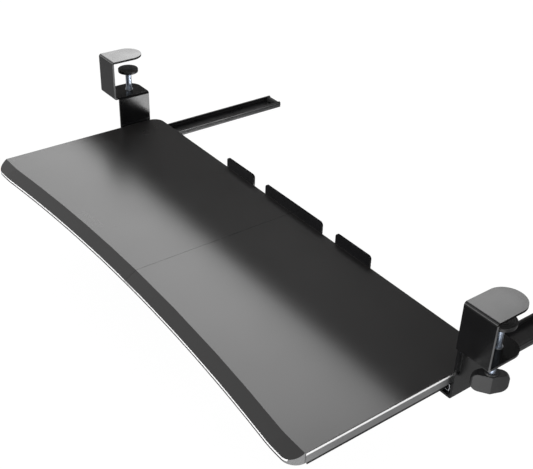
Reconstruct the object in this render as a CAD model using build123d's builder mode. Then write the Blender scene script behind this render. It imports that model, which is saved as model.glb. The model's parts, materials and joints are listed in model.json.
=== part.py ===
from build123d import *
import os
from math import asin, atan2, cos, pi, sin, sqrt

# A keyboard tray that slides out under a desk on two screw clamps.
# Lengths are in millimetres. X runs to the user's right, Y runs away from the
# user and under the desk, Z runs up. Zero is the middle of the desk's top
# front edge, and the tray is modelled pulled all the way out.

os.makedirs("parts", exist_ok=True)
hands = (("left", -1), ("right", 1))

# The desk that the clamps are set for
desk_thickness = 22.0

# The sheet steel clamp
plate = 3.0
bend_inside = 1.0
hook_pad_thickness = 1.0
throat_height = 59.9
clamp_depth = 60.0
strip_width = 46.0
jaw_corner = 20.0
bracket_drop = 79.3
side_set_back = 4.5
side_gap = 5.0
flange_width = 39.0
flange_corner = 3.0
bead_length = 34.0
bead_width = 5.5
bead_depth = 1.0
bead_inset = 5.0
bead_drop = 23.5

# The tray board
board_width = 750.0
board_depth = 290.0
board_thickness = 15.0
board_behind = 72.5
board_corner = 18.0
front_hollow = 18.0
front_flat = 10.0
front_shoulder = 212.0
bevel_run = 16.5
bevel_drop = 10.0
edge_band = 1.0
glue_line = 0.05
seam_gap = 0.3

# The ball slides
slide_height = 12.0
rail_sheet = 1.2
ball_radius = 2.0
race_clearance = 0.2
ball_across = 14.6
race_face_share = 0.8
ball_height_share = 0.45
rail_peek = 1.0
rail_set_back = 10.0
fixed_rail_length = 300.0
moving_rail_length = 280.5
moving_rail_tail = 14.0
lip_reach = 2.5
lip_gap = 2.0
rail_bend = 1.0
cage_sheet = 0.8
cage_lift = 0.5
cage_length = 70.0
cage_lag = 1.7
balls_per_side = 7
cage_hole_gap = 0.1
tab_width = 8.0
tab_thickness = 1.0
tab_clearance = 0.2

# Heights, from the top of the desk down
tongue_under = hook_pad_thickness
tongue_top = tongue_under + plate
jaw_top = tongue_under - throat_height
jaw_under = jaw_top - plate
flange_under = jaw_top - bracket_drop
flange_top = flange_under + plate
board_under = flange_top + slide_height
board_top = board_under + board_thickness
board_middle = (board_under + board_top) / 2

# Places across, measured from the middle
board_half = board_width / 2
rail_half = ball_across + ball_radius + race_clearance + rail_sheet
rail_centre = board_half + rail_peek - rail_half
side_inner = board_half + rail_peek + side_gap
side_outer = side_inner + plate
strip_outer = side_outer + strip_width
strip_middle = (side_outer + strip_outer) / 2
flange_inner = side_inner - flange_width

# Places front to back, measured from the desk's front face
board_back = board_behind
front_line = board_back - board_depth
front_middle = front_line + front_hollow
cage_front = rail_set_back + cage_lag
moving_back = board_back + moving_rail_tail
moving_front = moving_back - moving_rail_length
fixed_back = rail_set_back + fixed_rail_length

bend_outside = bend_inside + plate

# The two clamps, each cut and folded from one sheet: a tongue over the desk,
# a front strip, a jaw below with a round rear corner, and a side plate that
# hangs from the jaw's inner edge and turns in under the slide as a flange
nut_collar_radius = 6.5
nut_fit = 0.05
rail_screw_radius = 2.0
rail_screw_head = 4.0
rail_screw_gap = 0.1
rail_screw_first = 13.0
rail_screw_pitch = 32.0
tongue_radius = strip_width / 2
tongue_centre = clamp_depth - tongue_radius
screw_first_place = side_set_back + rail_screw_first
screw_places = [screw_first_place, screw_first_place + rail_screw_pitch]
sink_depth = rail_screw_head - rail_screw_radius

for word, side in hands:
    with BuildPart() as clamp_bracket:
        with BuildSketch(Plane.YZ.offset(side * side_outer)):
            with BuildLine():
                FilletPolyline(
                    (clamp_depth, tongue_top),
                    (-plate, tongue_top),
                    (-plate, jaw_under),
                    (clamp_depth, jaw_under),
                    (clamp_depth, jaw_top),
                    (0, jaw_top),
                    (0, tongue_under),
                    (clamp_depth, tongue_under),
                    radius=(0, bend_outside, bend_outside, 0, 0, bend_inside, bend_inside, 0),
                    close=True,
                )
            make_face()
        extrude(amount=side * strip_width)
        with BuildSketch(Plane.XY.offset(tongue_top)):
            with Locations((side * strip_middle, tongue_centre + tongue_radius / 2)):
                Rectangle(strip_width, tongue_radius)
            with Locations((side * strip_middle, tongue_centre)):
                Circle(tongue_radius, mode=Mode.SUBTRACT)
        extrude(amount=-plate, mode=Mode.SUBTRACT)
        with BuildSketch(Plane.XY.offset(jaw_top)):
            with Locations((side * (strip_outer - jaw_corner / 2), clamp_depth - jaw_corner / 2)):
                Rectangle(jaw_corner, jaw_corner)
            with Locations((side * (strip_outer - jaw_corner), clamp_depth - jaw_corner)):
                Circle(jaw_corner, mode=Mode.SUBTRACT)
        extrude(amount=-plate, mode=Mode.SUBTRACT)
        with BuildSketch(Plane.XZ.offset(-side_set_back)):
            with BuildLine():
                FilletPolyline(
                    (side * (side_outer + bend_outside), jaw_top),
                    (side * side_inner, jaw_top),
                    (side * side_inner, flange_top),
                    (side * flange_inner, flange_top),
                    (side * flange_inner, flange_under),
                    (side * side_outer, flange_under),
                    (side * side_outer, jaw_under),
                    (side * (side_outer + bend_outside), jaw_under),
                    radius=(0, bend_outside, bend_inside, 0, 0, bend_outside, bend_inside, 0),
                    close=True,
                )
            make_face()
        extrude(amount=side_set_back - clamp_depth)
        fillet(
            clamp_bracket.edges().filter_by(Axis.Z).group_by(Axis.X)[0 if side > 0 else -1],
            flange_corner,
        )
        with BuildSketch(Plane.YZ.offset(side * side_inner)):
            with Locations((side_set_back + bead_inset, jaw_under - bead_drop)):
                SlotOverall(bead_length + 2 * bead_depth, bead_width + 2 * bead_depth, rotation=90)
        extrude(amount=-side * bead_depth)
        with BuildSketch(Plane.YZ.offset(side * side_outer)):
            with Locations((side_set_back + bead_inset, jaw_under - bead_drop)):
                SlotOverall(bead_length, bead_width, rotation=90)
        extrude(amount=-side * bead_depth, mode=Mode.SUBTRACT)
        with Locations((side * strip_middle, tongue_centre, jaw_top)):
            Hole(nut_collar_radius + nut_fit, plate)
        with Locations([(side * rail_centre, y, flange_top + rail_sheet) for y in screw_places]):
            CounterSinkHole(
                rail_screw_radius + rail_screw_gap,
                rail_screw_head + rail_screw_gap,
                plate + rail_sheet,
                counter_sink_angle=90,
            )
    clamp_bracket.part.label = f"clamp_bracket_{word}"
    export_step(clamp_bracket.part, f"parts/clamp_bracket_{word}.step")

# The thin pad under each tongue, between the steel and the top of the desk
hook_pad_inset = 1.0
hook_pad_front = 2.0

for word, side in hands:
    with BuildPart() as hook_pad:
        with BuildSketch():
            with Locations((side * strip_middle, (hook_pad_front + tongue_centre) / 2)):
                Rectangle(strip_width - 2 * hook_pad_inset, tongue_centre - hook_pad_front)
            with Locations((side * strip_middle, tongue_centre)):
                Circle(tongue_radius - hook_pad_inset)
        extrude(amount=hook_pad_thickness)
    hook_pad.part.label = f"hook_pad_{word}"
    export_step(hook_pad.part, f"parts/hook_pad_{word}.step")

# The nut welded under each jaw; its collar stands through the jaw
thread_radius = 5.0
thread_fit = 0.05
nut_across_flats = 16.0
nut_height = 8.0
nut_collar_above = 1.0
nut_chamfer = 0.8

for word, side in hands:
    with BuildPart() as weld_nut:
        with BuildSketch(Plane.XY.offset(jaw_under - nut_height)):
            with Locations((side * strip_middle, tongue_centre)):
                RegularPolygon(nut_across_flats / 2, 6, major_radius=False)
        extrude(amount=nut_height)
        with BuildSketch(Plane.XY.offset(jaw_under)):
            with Locations((side * strip_middle, tongue_centre)):
                Circle(nut_collar_radius)
        extrude(amount=plate + nut_collar_above)
        with Locations((side * strip_middle, tongue_centre, jaw_top + nut_collar_above)):
            CounterSinkHole(
                thread_radius + thread_fit,
                thread_radius + thread_fit + nut_chamfer,
                counter_sink_angle=90,
            )
    weld_nut.part.label = f"weld_nut_{word}"
    export_step(weld_nut.part, f"parts/weld_nut_{word}.step")

# The pressure disc that the screw lifts against the underside of the desk,
# with the rubber facing on top of it
disc_radius = 16.5
disc_thickness = 4.0
disc_facing = 1.5
disc_socket_radius = 7.5
disc_socket_height = 3.0
disc_socket_gap = 0.3
pivot_radius = 3.0
pivot_gap = 0.1
rivet_radius = 4.5
rivet_room = 0.5
rivet_seat = 2.2
rivet_height = 1.2
disc_round = 0.8
facing_top = -desk_thickness
disc_top = facing_top - disc_facing
disc_under = disc_top - disc_thickness
rivet_floor = disc_top - disc_thickness + rivet_seat
screw_shoulder = disc_under - disc_socket_gap

for word, side in hands:
    with BuildPart() as pressure_disc:
        with BuildSketch(Plane.XY.offset(disc_under)):
            with Locations((side * strip_middle, tongue_centre)):
                Circle(disc_radius)
        extrude(amount=disc_thickness)
        fillet(pressure_disc.edges().group_by(Axis.Z)[0], disc_round)
        with BuildSketch(Plane.XY.offset(disc_under)):
            with Locations((side * strip_middle, tongue_centre)):
                Circle(disc_socket_radius)
                Circle(thread_radius + disc_socket_gap, mode=Mode.SUBTRACT)
        extrude(amount=-disc_socket_height)
        with BuildSketch(Plane.XY.offset(disc_under)):
            with Locations((side * strip_middle, tongue_centre)):
                Circle(pivot_radius + pivot_gap)
        extrude(amount=disc_thickness, mode=Mode.SUBTRACT)
        with BuildSketch(Plane.XY.offset(rivet_floor)):
            with Locations((side * strip_middle, tongue_centre)):
                Circle(rivet_radius + rivet_room)
        extrude(amount=disc_top - rivet_floor, mode=Mode.SUBTRACT)
    pressure_disc.part.label = f"pressure_disc_{word}"
    export_step(pressure_disc.part, f"parts/pressure_disc_{word}.step")

    with BuildPart() as disc_pad:
        with BuildSketch(Plane.XY.offset(disc_top)):
            with Locations((side * strip_middle, tongue_centre)):
                Circle(disc_radius)
        extrude(amount=disc_facing)
    disc_pad.part.label = f"disc_pad_{word}"
    export_step(disc_pad.part, f"parts/disc_pad_{word}.step")

# The wing knob on the lower end of each screw: a flat bar with rounded ends
# and an upright crease in the middle of both faces
knob_length = 44.0
knob_height = 24.0
knob_middle = 20.0
knob_tip_radius = 4.0
knob_corner = 9.5
knob_drop = 35.0
knob_turn = 52.0
knob_hub_radius = 8.0
knob_hub_height = 2.0
knob_bore_floor = 3.0
knob_round = 0.8
knob_top = jaw_under - knob_drop
knob_under = knob_top - knob_height
tip_centre = knob_length / 2 - knob_tip_radius
tip_swing = atan2(knob_middle / 2, tip_centre)
tip_tangent = pi / 2 - tip_swing + asin(
    knob_tip_radius / sqrt(tip_centre**2 + (knob_middle / 2) ** 2)
)
tangent_x = tip_centre + knob_tip_radius * cos(tip_tangent)
tangent_y = knob_tip_radius * sin(tip_tangent)

for word, side in hands:
    with BuildPart() as wing_knob:
        with BuildSketch(
            Plane(
                origin=(side * strip_middle, tongue_centre, knob_under),
                x_dir=Vector(1, 0, 0).rotate(Axis.Z, side * knob_turn),
                z_dir=(0, 0, 1),
            )
        ):
            with BuildLine():
                Line((0, knob_middle / 2), (tangent_x, tangent_y))
                ThreePointArc(
                    (tangent_x, tangent_y),
                    (tip_centre + knob_tip_radius, 0),
                    (tangent_x, -tangent_y),
                )
                Polyline((tangent_x, -tangent_y), (0, -knob_middle / 2), (-tangent_x, -tangent_y))
                ThreePointArc(
                    (-tangent_x, -tangent_y),
                    (-tip_centre - knob_tip_radius, 0),
                    (-tangent_x, tangent_y),
                )
                Line((-tangent_x, tangent_y), (0, knob_middle / 2))
            make_face()
        extrude(amount=knob_height)
        with BuildSketch(
            Plane(
                origin=(side * strip_middle, tongue_centre, (knob_top + knob_under) / 2),
                x_dir=Vector(1, 0, 0).rotate(Axis.Z, side * knob_turn),
                z_dir=Vector(0, -1, 0).rotate(Axis.Z, side * knob_turn),
            )
        ):
            RectangleRounded(knob_length, knob_height, knob_corner)
        extrude(amount=knob_middle, both=True, mode=Mode.INTERSECT)
        with BuildSketch(Plane.XY.offset(knob_top)):
            with Locations((side * strip_middle, tongue_centre)):
                Circle(knob_hub_radius)
        extrude(amount=knob_hub_height)
        chamfer(wing_knob.edges().group_by(Axis.Z)[-1], knob_round)
        with Locations((side * strip_middle, tongue_centre, knob_top + knob_hub_height)):
            Hole(thread_radius + thread_fit, knob_height + knob_hub_height - knob_bore_floor)
    wing_knob.part.label = f"wing_knob_{word}"
    export_step(wing_knob.part, f"parts/wing_knob_{word}.step")

# The clamping screw: thread, pivot pin at the top and the riveted head that
# holds the disc
screw_lead_in = 0.8
screw_foot = knob_under + knob_bore_floor
rivet_under = rivet_floor + pivot_gap

for word, side in hands:
    with BuildPart() as clamp_screw:
        with BuildSketch(Plane.XY.offset(screw_foot)):
            with Locations((side * strip_middle, tongue_centre)):
                Circle(thread_radius)
        extrude(amount=screw_shoulder - screw_foot)
        chamfer(clamp_screw.edges().filter_by(GeomType.CIRCLE), screw_lead_in)
        with BuildSketch(Plane.XY.offset(screw_shoulder)):
            with Locations((side * strip_middle, tongue_centre)):
                Circle(pivot_radius)
        extrude(amount=rivet_under - screw_shoulder)
        with BuildSketch(Plane.XY.offset(rivet_under)):
            with Locations((side * strip_middle, tongue_centre)):
                Circle(rivet_radius)
        extrude(amount=rivet_height)
        chamfer(clamp_screw.edges().group_by(Axis.Z)[-1], rivet_height / 2)
    clamp_screw.part.label = f"clamp_screw_{word}"
    export_step(clamp_screw.part, f"parts/clamp_screw_{word}.step")

# The tray board in two halves that meet at a seam in the middle. The front
# edge bows in and carries a bevel; the sides and the back carry an edge band
flat_start = board_half - board_corner - front_flat
front_swing = 2 * atan2(front_hollow, flat_start)
front_radius = flat_start / sin(front_swing) - front_shoulder
seam_half = seam_gap / 2
seam_swing = asin(seam_half / front_radius)
band_start = front_line + board_corner
band_half = board_half - edge_band
band_back = board_back - edge_band
band_corner = board_corner - edge_band
core_half = band_half - glue_line
core_back = band_back - glue_line
core_corner = band_corner - glue_line

stop_thickness = 3.0
stop_above = 16.0
stop_lift = 2.0
stop_corner = 5.0
stop_middle_width = 131.0
stop_outer_width = 70.0
stop_gap = 30.0
stop_outer_centre = stop_middle_width / 2 + stop_gap + stop_outer_width / 2
stop_pieces = (
    ("left", -stop_outer_centre, stop_outer_width),
    ("middle", 0, stop_middle_width),
    ("right", stop_outer_centre, stop_outer_width),
)
stop_screw_inset = 15.0
wood_screw_radius = 1.9
pilot_gap = 0.05
stop_screw_reach = 14.0
stop_screw_spots = [
    side * x
    for side in (-1, 1)
    for x in (
        stop_screw_inset,
        stop_middle_width / 2 - stop_screw_inset,
        stop_outer_centre - stop_outer_width / 2 + stop_screw_inset,
        stop_outer_centre + stop_outer_width / 2 - stop_screw_inset,
    )
]

tray_screw_reach = 10.0
tray_screw_share = 0.1
tray_screws_per_side = 4
tray_screw_first = moving_front + tray_screw_share * (board_back - moving_front)
tray_screw_span = (board_back - tray_screw_first) * (1 - tray_screw_share)
tray_screw_pitch = tray_screw_span / (tray_screws_per_side - 1)
tray_screw_places = [tray_screw_first + i * tray_screw_pitch for i in range(tray_screws_per_side)]

joint_plate_width = 160.0
joint_plate_depth = 40.0
joint_plate_thickness = 2.0
joint_plate_corner = 8.0
joint_plate_share = 0.28
joint_screw_shares = (0.16, 0.42)
joint_plates = (
    ("front", front_line + joint_plate_share * board_depth),
    ("rear", board_back - joint_plate_share * board_depth),
)
joint_spots = [
    (side * joint_plate_width * share, y)
    for _, y in joint_plates
    for side in (-1, 1)
    for share in joint_screw_shares
]

for word, side in hands:
    with BuildPart() as board:
        with BuildSketch(Plane.XY.offset(board_under)):
            with BuildLine():
                ThreePointArc(
                    *[
                        (
                            side * front_radius * sin(swing),
                            front_middle - front_radius * (1 - cos(swing)),
                        )
                        for swing in (seam_swing, front_swing / 2, front_swing)
                    ]
                )
                ThreePointArc(
                    *[
                        (
                            side * (flat_start - front_shoulder * sin(swing)),
                            front_line + front_shoulder * (1 - cos(swing)),
                        )
                        for swing in (front_swing, front_swing / 2, 0)
                    ]
                )
                Polyline(
                    (side * flat_start, front_line),
                    (side * board_half, front_line),
                    (side * board_half, band_start),
                    (side * core_half, band_start),
                    (side * core_half, core_back - core_corner),
                )
                RadiusArc(
                    (side * core_half, core_back - core_corner),
                    (side * (core_half - core_corner), core_back),
                    -side * core_corner,
                )
                Polyline(
                    (side * (core_half - core_corner), core_back),
                    (side * seam_half, core_back),
                    (side * seam_half, front_middle - front_radius * (1 - cos(seam_swing))),
                )
            make_face()
        extrude(amount=board_thickness)
        # The bevel follows the two front arcs and runs out straight through the side
        top_face = board.faces().sort_by(Axis.Z)[-1]
        front_arcs = top_face.edges().filter_by(GeomType.CIRCLE).sort_by(Axis.Y)[:2]
        chamfer(front_arcs, bevel_run, bevel_drop, reference=top_face)
        with BuildSketch(Plane.XY.offset(board_under)):
            with Locations((side * (board_half - board_corner / 2), front_line + board_corner / 2)):
                Rectangle(board_corner, board_corner)
            with Locations((side * (board_half - board_corner), front_line + board_corner)):
                Circle(board_corner, mode=Mode.SUBTRACT)
        extrude(amount=board_thickness, mode=Mode.SUBTRACT)
        with BuildSketch(Plane.XY.offset(board_under)):
            with Locations([(side * rail_centre, y) for y in tray_screw_places]):
                Circle(wood_screw_radius + pilot_gap)
        extrude(amount=tray_screw_reach, mode=Mode.SUBTRACT)
        with BuildSketch(Plane.XY.offset(board_under)):
            with Locations([spot for spot in joint_spots if side * spot[0] > 0]):
                Circle(wood_screw_radius + pilot_gap)
        extrude(amount=tray_screw_reach, mode=Mode.SUBTRACT)
        with BuildSketch(Plane.XZ.offset(-core_back)):
            with Locations([(x, board_middle) for x in stop_screw_spots if side * x > 0]):
                Circle(wood_screw_radius + pilot_gap)
        extrude(amount=stop_screw_reach, mode=Mode.SUBTRACT)
    board.part.label = f"board_{word}"
    export_step(board.part, f"parts/board_{word}.step")

    with BuildPart() as band:
        with BuildSketch(Plane.XY.offset(board_under)):
            with BuildLine():
                Polyline(
                    (side * band_half, band_back - band_corner),
                    (side * band_half, band_start),
                    (side * board_half, band_start),
                    (side * board_half, board_back - board_corner),
                )
                RadiusArc(
                    (side * board_half, board_back - board_corner),
                    (side * (board_half - board_corner), board_back),
                    -side * board_corner,
                )
                Polyline(
                    (side * (board_half - board_corner), board_back),
                    (side * seam_half, board_back),
                    (side * seam_half, band_back),
                    (side * (band_half - band_corner), band_back),
                )
                RadiusArc(
                    (side * (band_half - band_corner), band_back),
                    (side * band_half, band_back - band_corner),
                    side * band_corner,
                )
            make_face()
        extrude(amount=board_thickness)
        with BuildSketch(Plane.XZ.offset(-board_back)):
            with Locations([(x, board_middle) for x in stop_screw_spots if side * x > 0]):
                Circle(wood_screw_radius + pilot_gap)
        extrude(amount=edge_band, mode=Mode.SUBTRACT)
    band.part.label = f"edge_band_{word}"
    export_step(band.part, f"parts/edge_band_{word}.step")

# The two steel plates that join the halves from below
for word, place in joint_plates:
    with BuildPart() as joining_plate:
        with BuildSketch(Plane.XY.offset(board_under)):
            with Locations((0, place)):
                RectangleRounded(joint_plate_width, joint_plate_depth, joint_plate_corner)
            with Locations([spot for spot in joint_spots if spot[1] == place]):
                Circle(wood_screw_radius + rail_screw_gap, mode=Mode.SUBTRACT)
        extrude(amount=-joint_plate_thickness)
    joining_plate.part.label = f"joining_plate_{word}"
    export_step(joining_plate.part, f"parts/joining_plate_{word}.step")

# The eight screws that hold the joining plates
pan_head_radius = 3.6
pan_head_height = 2.2
pan_head_round = 0.9
recess_span = 3.6
recess_width = 0.8
recess_depth = 1.2
screw_end_gap = 0.5
joint_head = board_under - joint_plate_thickness - pan_head_height

with BuildPart() as joining_screws:
    with BuildSketch(Plane.XY.offset(joint_head)):
        with Locations(joint_spots):
            Circle(pan_head_radius)
    extrude(amount=pan_head_height)
    fillet(joining_screws.edges().group_by(Axis.Z)[0], pan_head_round)
    with BuildSketch(Plane.XY.offset(board_under - joint_plate_thickness)):
        with Locations(joint_spots):
            Circle(wood_screw_radius)
    extrude(amount=joint_plate_thickness + tray_screw_reach - screw_end_gap)
    with BuildSketch(Plane.XY.offset(joint_head)):
        with Locations(joint_spots):
            Rectangle(recess_span, recess_width)
            Rectangle(recess_width, recess_span)
    extrude(amount=recess_depth, mode=Mode.SUBTRACT)
joining_screws.part.label = "joining_screws"
export_step(joining_screws.part, "parts/joining_screws.step")

# The three upright stops behind the back edge, and their screws
for word, middle, width in stop_pieces:
    with BuildPart() as back_stop:
        with BuildSketch(Plane.XZ.offset(-board_back)) as stop_face:
            with Locations((middle, (board_under + stop_lift + board_top + stop_above) / 2)):
                Rectangle(width, board_thickness + stop_above - stop_lift)
            fillet(stop_face.vertices().group_by(Axis.Y)[-1], stop_corner)
            with Locations(
                [(x, board_middle) for x in stop_screw_spots if abs(x - middle) < width / 2]
            ):
                Circle(wood_screw_radius + rail_screw_gap, mode=Mode.SUBTRACT)
        extrude(amount=-stop_thickness)
    back_stop.part.label = f"back_stop_{word}"
    export_step(back_stop.part, f"parts/back_stop_{word}.step")

with BuildPart() as back_stop_screws:
    with BuildSketch(Plane.XZ.offset(-board_back - stop_thickness)):
        with Locations([(x, board_middle) for x in stop_screw_spots]):
            Circle(pan_head_radius)
    extrude(amount=-pan_head_height)
    fillet(back_stop_screws.edges().group_by(Axis.Y)[-1], pan_head_round)
    with BuildSketch(Plane.XZ.offset(-board_back - stop_thickness)):
        with Locations([(x, board_middle) for x in stop_screw_spots]):
            Circle(wood_screw_radius)
    extrude(amount=stop_thickness + edge_band + stop_screw_reach - screw_end_gap)
    with BuildSketch(Plane.XZ.offset(-board_back - stop_thickness - pan_head_height)):
        with Locations([(x, board_middle) for x in stop_screw_spots]):
            Rectangle(recess_span, recess_width)
            Rectangle(recess_width, recess_span)
    extrude(amount=recess_depth, mode=Mode.SUBTRACT)
back_stop_screws.part.label = "back_stop_screws"
export_step(back_stop_screws.part, "parts/back_stop_screws.step")

# The slides. Both rails are folded channels with a ball track pressed into
# each wall; the cross sections are drawn from the middle of the rail outwards
# and from the top of the flange upwards
ball_height = ball_height_share * slide_height
race_radius = ball_radius + race_clearance
race_back = race_radius + rail_sheet
race_face = race_face_share * ball_radius
race_half = sqrt(race_radius**2 - race_face**2)
back_half = sqrt(race_back**2 - (race_face + rail_sheet) ** 2)
fixed_face = ball_across + race_face
fixed_back_face = fixed_face + rail_sheet
moving_face = ball_across - race_face
moving_back_face = moving_face - rail_sheet
fixed_top = slide_height - lip_gap
lip_under = fixed_top - rail_sheet
cage_under = rail_sheet + cage_lift
cage_top = cage_under + cage_sheet
cage_side_top = lip_under - cage_lift
cage_half = ball_across + cage_sheet / 2
track_margin = 0.3
moving_low = ball_height - back_half - track_margin
moving_web = slide_height - rail_sheet
bumper_length = 6.0
bumper_inset = 0.5
bumper_gap = 0.3
bumper_stud_radius = 2.0
bumper_middle = fixed_back - bumper_inset - bumper_length / 2

for word, side in hands:
    with BuildPart() as fixed_rail:
        with BuildSketch(
            Plane(
                origin=(side * rail_centre, rail_set_back, flange_top),
                x_dir=(1, 0, 0),
                z_dir=(0, -1, 0),
            )
        ) as fixed_section:
            with BuildLine():
                Polyline(
                    (0, rail_sheet),
                    (0, 0),
                    (fixed_back_face, 0),
                    (fixed_back_face, ball_height - back_half),
                )
                ThreePointArc(
                    (fixed_back_face, ball_height - back_half),
                    (ball_across + race_back, ball_height),
                    (fixed_back_face, ball_height + back_half),
                )
                Polyline(
                    (fixed_back_face, ball_height + back_half),
                    (fixed_back_face, fixed_top),
                    (fixed_back_face - lip_reach - rail_sheet, fixed_top),
                    (fixed_back_face - lip_reach - rail_sheet, lip_under),
                    (fixed_face, lip_under),
                    (fixed_face, ball_height + race_half),
                )
                ThreePointArc(
                    (fixed_face, ball_height + race_half),
                    (ball_across + race_radius, ball_height),
                    (fixed_face, ball_height - race_half),
                )
                Polyline(
                    (fixed_face, ball_height - race_half),
                    (fixed_face, rail_sheet),
                    (0, rail_sheet),
                )
            make_face()
            mirror(about=Plane.YZ)
            fillet(fixed_section.vertices().group_by(Axis.Y)[0], rail_bend)
            fillet(
                fixed_section.vertices().group_by(Axis.Y)[-1].filter_by(
                    lambda v: abs(v.X) > fixed_face
                ),
                rail_bend,
            )
        extrude(amount=-fixed_rail_length)
        with Locations((side * rail_centre, rail_set_back + tab_clearance, flange_top + rail_sheet)):
            Box(
                tab_width,
                tab_thickness,
                cage_top - rail_sheet,
                align=(Align.CENTER, Align.MIN, Align.MIN),
            )
        with Locations([(side * rail_centre, y, flange_top + rail_sheet) for y in screw_places]):
            CounterSinkHole(
                rail_screw_radius + rail_screw_gap,
                rail_screw_head + rail_screw_gap,
                rail_sheet,
                counter_sink_angle=90,
            )
        with Locations((side * rail_centre, bumper_middle, flange_top + rail_sheet)):
            Hole(bumper_stud_radius + thread_fit, rail_sheet)
    fixed_rail.part.label = f"fixed_rail_{word}"
    export_step(fixed_rail.part, f"parts/fixed_rail_{word}.step")

    with BuildPart() as rail_bumper:
        with Locations((side * rail_centre, bumper_middle, flange_top + rail_sheet)):
            Box(
                2 * (fixed_face - bumper_gap),
                bumper_length,
                lip_under - rail_sheet - bumper_gap,
                align=(Align.CENTER, Align.CENTER, Align.MIN),
            )
        fillet(rail_bumper.edges().filter_by(Axis.Z), bumper_inset)
        with Locations((side * rail_centre, bumper_middle, flange_top)):
            Cylinder(
                bumper_stud_radius,
                rail_sheet,
                align=(Align.CENTER, Align.CENTER, Align.MIN),
            )
    rail_bumper.part.label = f"rail_bumper_{word}"
    export_step(rail_bumper.part, f"parts/rail_bumper_{word}.step")

    with BuildPart() as moving_rail:
        with BuildSketch(
            Plane(
                origin=(side * rail_centre, moving_front, flange_top),
                x_dir=(1, 0, 0),
                z_dir=(0, -1, 0),
            )
        ) as moving_section:
            with BuildLine():
                Polyline(
                    (0, moving_web),
                    (0, slide_height),
                    (moving_face, slide_height),
                    (moving_face, ball_height + race_half),
                )
                ThreePointArc(
                    (moving_face, ball_height + race_half),
                    (ball_across - race_radius, ball_height),
                    (moving_face, ball_height - race_half),
                )
                Polyline(
                    (moving_face, ball_height - race_half),
                    (moving_face, moving_low),
                    (moving_back_face, moving_low),
                    (moving_back_face, ball_height - back_half),
                )
                ThreePointArc(
                    (moving_back_face, ball_height - back_half),
                    (ball_across - race_back, ball_height),
                    (moving_back_face, ball_height + back_half),
                )
                Polyline(
                    (moving_back_face, ball_height + back_half),
                    (moving_back_face, moving_web),
                    (0, moving_web),
                )
            make_face()
            mirror(about=Plane.YZ)
            fillet(moving_section.vertices().group_by(Axis.Y)[-1], rail_bend)
        extrude(amount=-moving_rail_length)
        with Locations((side * rail_centre, moving_back, flange_top + slide_height)):
            Box(
                tab_width,
                tab_thickness,
                slide_height - cage_under - tab_clearance,
                align=(Align.CENTER, Align.MAX, Align.MAX),
            )
        with Locations([(side * rail_centre, y, flange_top + slide_height) for y in tray_screw_places]):
            Hole(wood_screw_radius + rail_screw_gap, rail_sheet)
    moving_rail.part.label = f"moving_rail_{word}"
    export_step(moving_rail.part, f"parts/moving_rail_{word}.step")

    # The cage that spaces the balls, and the balls
    ball_pitch = cage_length / balls_per_side
    ball_places = [cage_front + ball_pitch * i + ball_pitch / 2 for i in range(balls_per_side)]
    with BuildPart() as ball_retainer:
        with BuildSketch(
            Plane(
                origin=(side * rail_centre, cage_front, flange_top),
                x_dir=(1, 0, 0),
                z_dir=(0, -1, 0),
            )
        ):
            with BuildLine():
                Polyline(
                    (-cage_half, cage_under),
                    (cage_half, cage_under),
                    (cage_half, cage_side_top),
                    (cage_half - cage_sheet, cage_side_top),
                    (cage_half - cage_sheet, cage_top),
                    (-cage_half + cage_sheet, cage_top),
                    (-cage_half + cage_sheet, cage_side_top),
                    (-cage_half, cage_side_top),
                    close=True,
                )
            make_face()
        extrude(amount=-cage_length)
        with Locations([(side * rail_centre, y, flange_top + ball_height) for y in ball_places]):
            Cylinder(
                ball_radius + cage_hole_gap,
                2 * rail_half,
                rotation=(0, 90, 0),
                mode=Mode.SUBTRACT,
            )
    ball_retainer.part.label = f"ball_retainer_{word}"
    export_step(ball_retainer.part, f"parts/ball_retainer_{word}.step")

    with BuildPart() as rail_balls:
        with Locations(
            [
                (side * rail_centre + across, y, flange_top + ball_height)
                for y in ball_places
                for across in (-ball_across, ball_across)
            ]
        ):
            Sphere(ball_radius)
    rail_balls.part.label = f"rail_balls_{word}"
    export_step(rail_balls.part, f"parts/rail_balls_{word}.step")

    # The countersunk screws that hold the fixed rail on the flange
    with BuildPart() as fixed_rail_screws:
        with Locations([(side * rail_centre, y, flange_top + rail_sheet) for y in screw_places]):
            Cone(
                rail_screw_radius,
                rail_screw_head,
                sink_depth,
                align=(Align.CENTER, Align.CENTER, Align.MAX),
            )
            Cylinder(
                rail_screw_radius,
                plate + rail_sheet,
                align=(Align.CENTER, Align.CENTER, Align.MAX),
            )
        with Locations([(side * rail_centre, y, flange_top + rail_sheet) for y in screw_places]):
            Box(
                recess_span,
                recess_width,
                recess_depth,
                align=(Align.CENTER, Align.CENTER, Align.MAX),
                mode=Mode.SUBTRACT,
            )
            Box(
                recess_width,
                recess_span,
                recess_depth,
                align=(Align.CENTER, Align.CENTER, Align.MAX),
                mode=Mode.SUBTRACT,
            )
    fixed_rail_screws.part.label = f"fixed_rail_screws_{word}"
    export_step(fixed_rail_screws.part, f"parts/fixed_rail_screws_{word}.step")

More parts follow.
